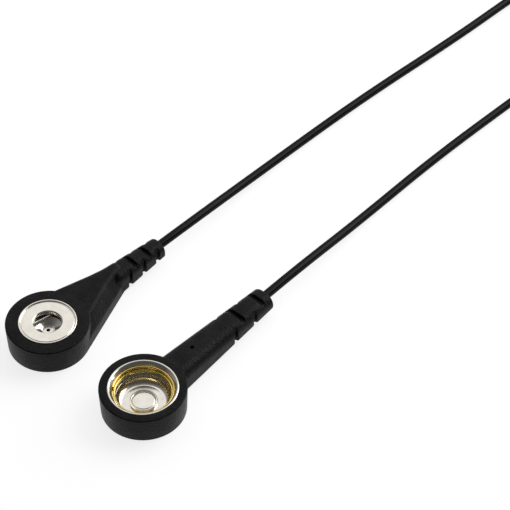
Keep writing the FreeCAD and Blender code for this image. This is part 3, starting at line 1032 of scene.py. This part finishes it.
@dataclass
class SmallHousing(Housing):
    """Disc, wedge and ribbed strain relief of the small connector."""

    name: str = "small_moulding"
    node: str = "small_housing"
    place: Place = SMALL_PLACE
    radius: float = 7.3
    height: float = 5.1
    bore: Steps = (
        (0, 2.5), (1.1, 2.5), (2.5, 3.4), (3.55, 3.4), (3.55, 4.6), (4.8, 4.6), (4.8, 4.25),
        (5.05, 4.25), (5.05, 6.5), (0, 6.5),
    )
    taper: Taper = Taper(17.4, 27.3, (4.4, 3.7), (4.3, 2.9))
    tail_start: float = 15.0
    shoulder: float = 1.7
    root: float = 1.5
    first_slot: float = 18.4
    slot_pitch: float = 1.75
    slot_count: int = 5
    evening: int = 6
    bend_x: float = 11.0
    bend_deg: float = -3.9
    wall_h: float = 2.2
    top_z: float = 4.9
    foot_r: float = 7.1
    half_angle_deg: float = 17.1
    stations: Steps = (
        (2.16, 5.2), (6.4, 4.1), (10.5, 2.68), (12.9, 1.85), (15.2, 1.2), (17.7, 0.75),
    )
    crown_inset: float = 0.62
    crown: float = 0.17
    ridge: float = 0.4
    waist: float = 0.2

    def wall_at(self, x: float) -> float:
        """Half width of the wedge's walls, which leave the disc tangentially."""
        angle = math.radians(self.half_angle_deg)
        return (self.foot_r - x * math.sin(angle)) / math.cos(angle)

    def narrow(self, shape: Shape, x: float, low: bool, share: float) -> None:
        """Brings the wedge's end at x nearer to its middle line.

        Args:
            shape: The wedge, in edit mode.
            x: Where its end is.
            low: Whether the walls are meant, up to their height, and not the top.
            share: New width by old width.
        """
        if low:
            height = 0.0
            shape.pick(Kind.VERTICES, lambda at, _: at.x > x - TINY and at.z < self.wall_h + TINY)
        else:
            height = self.top_z
            shape.pick(Kind.VERTICES, lambda at, _: at.x > x - TINY and at.z > self.top_z - TINY)
        bpy.ops.transform.resize(value=(1, share, 1), center_override=(x, 0, height))

    def wedge(self) -> Shape:
        """Wedge with soft ridges between its crowned top and its steep flanks.

        Returns:
            The wedge.
        """
        x, top = self.stations[0]
        wall = self.wall_at(x)
        shape = box("wedge", (x - 1, -wall, 0), (x, wall, self.wall_h))
        with shape.editing():
            shape.pick(Kind.FACES, lambda _, way: way.z > FACING)
            rise = (0, 0, self.top_z - self.wall_h)
            bpy.ops.mesh.extrude_region_move(TRANSFORM_OT_translate={"value": rise})
            bpy.ops.transform.resize(value=(1, top / wall, 1), center_override=(x, 0, self.top_z))
            for x, next_top in self.stations[1:]:
                next_wall = self.wall_at(x)
                shape.pick(Kind.FACES, lambda _, way: way.x > 0.5)
                here = max(v.co.x for v in bmesh.from_edit_mesh(shape.obj.data).verts)
                bpy.ops.mesh.extrude_region_move(TRANSFORM_OT_translate={"value": (x - here, 0, 0)})
                for low, share in ((True, next_wall / wall), (False, next_top / top)):
                    self.narrow(shape, x, low, share)
                wall, top = next_wall, next_top
            shape.pick(Kind.FACES, lambda _, way: way.z > 0.99)
            bpy.ops.mesh.inset(thickness=self.crown_inset)
            bpy.ops.transform.translate(value=(0, 0, self.crown))
            for z, offset, segments in ((self.top_z, self.ridge, 5), (self.wall_h, self.waist, 3)):
                shape.pick(
                    Kind.EDGES, lambda at, way: abs(way.x) > LONG_EDGE and abs(at.z - z) < TINY
                )
                bpy.ops.mesh.bevel(offset=offset, segments=segments, affect="EDGES")
        return shape

    def finished_tail(self) -> Shape:
        """Bent tail joined to the wedge, both with soft edges.

        Returns:
            The tail and the wedge as one piece.
        """
        shape = self.tail()
        self.cut_slots(shape)
        shape.turn(self.bend_deg, self.bend_x)
        shape.combine(self.wedge(), "UNION")
        self.soften(shape)
        return shape


# Cord


@dataclass
class Cord(Assembly):
    """The one cord: from the small connector to the tied coil and on to the large one."""

    diameter: float = 1.6
    length: float = 0.93
    coil: Place = Place(96.2, 115.8, 44.0)
    straight: float = 30.0
    bend_r: float = 10.5
    pitch: float = 1.95
    bends_per_layer: int = 7
    low_z: float = 1.0495
    lead_in: float = 12.0
    points_per_bend: int = 6
    tie_top: float = 4.049
    tie_half: float = 2.0
    tie_gap: float = 0.1
    tie_wall: float = 0.4
    leave_small: Steps = (
        (1.4165, 34.981, 2.55), (7.600, 41.520, 2.55), (19.0, 55.1, 0.8), (38.0, 74.7, 0.8),
        (58.0, 93.3, 0.8),
    )
    leave_large: Steps = (
        (20.197, 22.788, 2.55), (26.166, 29.524, 2.55), (37.2, 42.7, 0.8), (52.5, 59.8, 0.8),
        (70.5, 77.7, 0.8),
    )

    def bend(self, x: float, y: float, z: float, side: int, radius: float) -> list[Vector]:
        """Control points of a half turn, and one on the straight side at each end of it.

        Args:
            x: Where the half turn starts, on the coil's long axis.
            y: Where it starts across that axis.
            z: Its height.
            side: 1 at the coil's far end and -1 at its near end.
            radius: Its radius.

        Returns:
            The points, in metres.
        """
        step = math.pi / self.points_per_bend
        reach, tip = radius * math.tan(step / 2), radius / math.cos(step / 2)
        middle = y - side * radius
        found = [(x - side * reach, y)]
        for i in range(self.points_per_bend):
            angle = math.pi / 2 - (i + 0.5) * step
            found.append((x + side * tip * math.cos(angle), middle + side * tip * math.sin(angle)))
        found.append((x - side * reach, y - 2 * side * radius))
        return [self.coil.point(a, b, z) for a, b in found]

    def turns(self) -> list[Vector]:
        """Oval turns that wind in, climb a layer and wind out again.

        Returns:
            The control points, in metres.
        """
        inward = [self.bend_r - i * self.pitch / 2 for i in range(self.bends_per_layer)]
        x, y, z = self.straight / 2, self.bend_r, self.low_z
        found = []
        for i, radius in enumerate(inward + inward[:0:-1]):
            side = 1 if x > 0 else -1
            found += self.bend(x, y, z, side, radius)
            x, y = -x, y - 2 * side * radius
            if i == self.bends_per_layer - 1:
                z = self.low_z + self.pitch
        return found

    def route(self) -> list[Vector]:
        """Control points of the whole cord, in metres.

        Returns:
            The points.
        """
        near = -self.straight / 2
        far = near - self.lead_in
        high_z = self.low_z + self.pitch
        there = [Vector(step) * MM for step in self.leave_small]
        back = [Vector(step) * MM for step in reversed(self.leave_large)]
        into = [self.coil.point(x, self.bend_r, self.low_z) for x in (far, near)]
        out = [self.coil.point(x, -self.bend_r, high_z) for x in (near, far)]
        return there + into + self.turns() + out + back

    def line(self) -> bpy.types.Object:
        """The cord as one NURBS curve with its round section.

        Returns:
            The curve.
        """
        curve = bpy.data.curves.new("cord", "CURVE")
        curve.dimensions = "3D"
        curve.bevel_depth = self.diameter / 2 * MM
        curve.bevel_resolution = 4
        curve.resolution_u = 10
        curve.use_fill_caps = True
        spline = curve.splines.new("NURBS")
        points = self.route()
        spline.points.add(len(points) - 1)
        for place, at in zip(spline.points, points):
            place.co = (*at, 1)
        spline.order_u = 3
        spline.use_endpoint_u = True
        return put("cord", curve)

    def tie(self) -> bpy.types.Object:
        """Flat band round the strands, with soft corners and a rounded edge.

        Returns:
            The band.
        """
        strands = (self.bends_per_layer - 1) // 2 * self.pitch
        outer = self.bend_r + self.diameter / 2 + self.tie_gap
        inner = self.bend_r - strands - self.diameter / 2 - self.tie_gap
        shape = box(
            "coil_tie_band", (-self.tie_half, inner - self.tie_wall, 0),
            (self.tie_half, outer + self.tie_wall, self.tie_top),
        )
        with shape.editing():
            shape.pick(Kind.EDGES, lambda _, way: abs(way.x) > LONG_EDGE)
            bpy.ops.mesh.bevel(offset=0.7, segments=6, affect="EDGES")
            shape.pick(Kind.FACES, lambda _, way: abs(way.x) > FACING)
            bpy.ops.mesh.inset(thickness=0.3)
            bpy.ops.mesh.bridge_edge_loops()
        shape.apply("BEVEL", width=0.06, segments=2, limit_method="ANGLE")
        shape.smooth(40)
        return shape.seat(self.coil)

    def build(self) -> None:
        nodes = ("cord_run_small", "cord_coil", "cord_run_large")
        cord = self.fit(self.line(), Slot.CORD_JACKET, BODY, *nodes)
        tie = self.fit(self.tie(), Slot.TIE_STRAP, BODY, "coil_tie")
        self.route()[0]


@dataclass
class InnerParts(Assembly):
    """Solids inside the mouldings, which keep their shapes and get their finishes."""

    nodes: dict[Slot, tuple[str, ...]] = field(default_factory=lambda: {
        Slot.TINNED_METAL: (
            "large_terminal_tag", "small_terminal_tag", "resistor_lead_front", "resistor_lead_rear",
            "resistor_cap_front", "resistor_cap_rear", "splice_sleeve", "large_conductor_end",
            "small_conductor_end",
        ),
        Slot.CERAMIC: ("resistor_body",),
        Slot.SHRINK_SLEEVE: ("resistor_sleeve",),
        Slot.CORD_JACKET: ("large_cord_end", "small_cord_end"),
    })

    def build(self) -> None:
        """Dresses each node."""
        for slot, names in self.nodes.items():
            for name in names:
                self.finishes.dress(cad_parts[name], slot)
                log.info("%s keeps its solid", name)


# Studio


@dataclass(frozen=True)
class Lamp:
    """Square soft light: its place and side in millimetres, and its power in watts."""

    name: str
    at: Point
    size: float
    power: float


@dataclass
class Studio:
    """White table, soft light and the camera, in millimetres."""

    aim_at: Point = (18.59, 35.17, 0.0)
    elevation_deg: float = 46.457
    distance: float = 392.19
    lens: float = 155.0
    sensor: float = 36.0
    lamps: tuple[Lamp, ...] = (
        Lamp("soft_back", (18, 380, 370), 600, 0.78), Lamp("soft_side", (390, 230, 290), 420, 1.7),
    )
    table_side: float = 6000.0
    table_grey: float = 0.85
    seen_grey: float = 0.35
    seen_glow: float = 0.8
    front_light: float = 0.08
    back_light: float = 0.32

    def build(self) -> None:
        """Sets the table, the light and the camera."""
        self.table()
        self.surround()
        for lamp in self.lamps:
            self.light(lamp)
        self.camera()

    def table(self) -> None:
        """White table top that keeps a faint shadow and is white in metal, too."""
        side = self.table_side * MM
        shape = Shape("table_top", bpy.ops.mesh.primitive_plane_add, size=side, location=(0, 0, 0))
        material, graph = new_material("table_white")
        path = graph.add("ShaderNodeLightPath").outputs
        seen = graph.math("MAXIMUM", path["Is Camera Ray"], path["Is Glossy Ray"])
        seen = graph.math("MAXIMUM", seen, path["Is Transmission Ray"])
        matte, shaded = (
            graph.add("ShaderNodeBsdfDiffuse", {"Color": (grey, grey, grey, 1)}).outputs[0]
            for grey in (self.table_grey, self.seen_grey)
        )
        glow = graph.add("ShaderNodeEmission", {"Color": WHITE, "Strength": self.seen_glow})
        both = graph.add("ShaderNodeAddShader", {0: shaded, 1: glow.outputs[0]})
        mix = graph.add("ShaderNodeMixShader", {"Fac": seen, 1: matte, 2: both.outputs[0]})
        graph.add("ShaderNodeOutputMaterial", {"Surface": mix.outputs[0]})
        shape.obj.data.materials.append(material)

    def surround(self) -> None:
        """Plain pale surround, the same for all rays, and dimmer towards the front."""
        world = bpy.data.worlds.new("surround")
        bpy.context.scene.world = world
        world.use_nodes = True
        graph = Graph(world.node_tree)
        place = graph.add("ShaderNodeTexCoord").outputs["Generated"]
        way = graph.add("ShaderNodeSeparateXYZ", {"Vector": place}).outputs["Y"]
        level = graph.span(way, -0.3, 0.4, self.front_light, self.back_light)
        pale = graph.add("ShaderNodeBackground", {"Color": WHITE, "Strength": level})
        graph.add("ShaderNodeOutputWorld", {"Surface": pale.outputs[0]})

    def light(self, lamp: Lamp) -> None:
        """Hangs a lamp and points it at the middle of the picture.

        Args:
            lamp: The lamp.
        """
        data = bpy.data.lights.new(lamp.name, "AREA")
        data.size = lamp.size * MM
        data.energy = lamp.power
        at = Vector(lamp.at)
        aim(put(lamp.name, data), at, Vector(self.aim_at) - at)

    def camera(self) -> None:
        """Camera in front of the lead, looking down at it."""
        data = bpy.data.cameras.new("camera")
        data.lens = self.lens
        data.sensor_width = self.sensor
        data.clip_start = 0.01
        data.clip_end = 50.0
        obj = put("camera", data)
        rise = math.radians(self.elevation_deg)
        back = Vector((0, -math.cos(rise), math.sin(rise))) * self.distance
        aim(obj, Vector(self.aim_at) + back, -back)
        bpy.context.scene.camera = obj


def main() -> None:
    """Builds the lead in order."""
    logging.basicConfig(level=logging.INFO, format="%(message)s")
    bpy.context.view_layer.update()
    bpy.context.scene.view_settings.view_transform = "Standard"
    finishes = Finishes()
    for make in (LargeSocket, SmallSocket, LargeHousing, SmallHousing, Cord, InnerParts):
        make(finishes).build()
    Studio().build()
    bpy.context.view_layer.update()


if __name__ == "__main__":
    main()
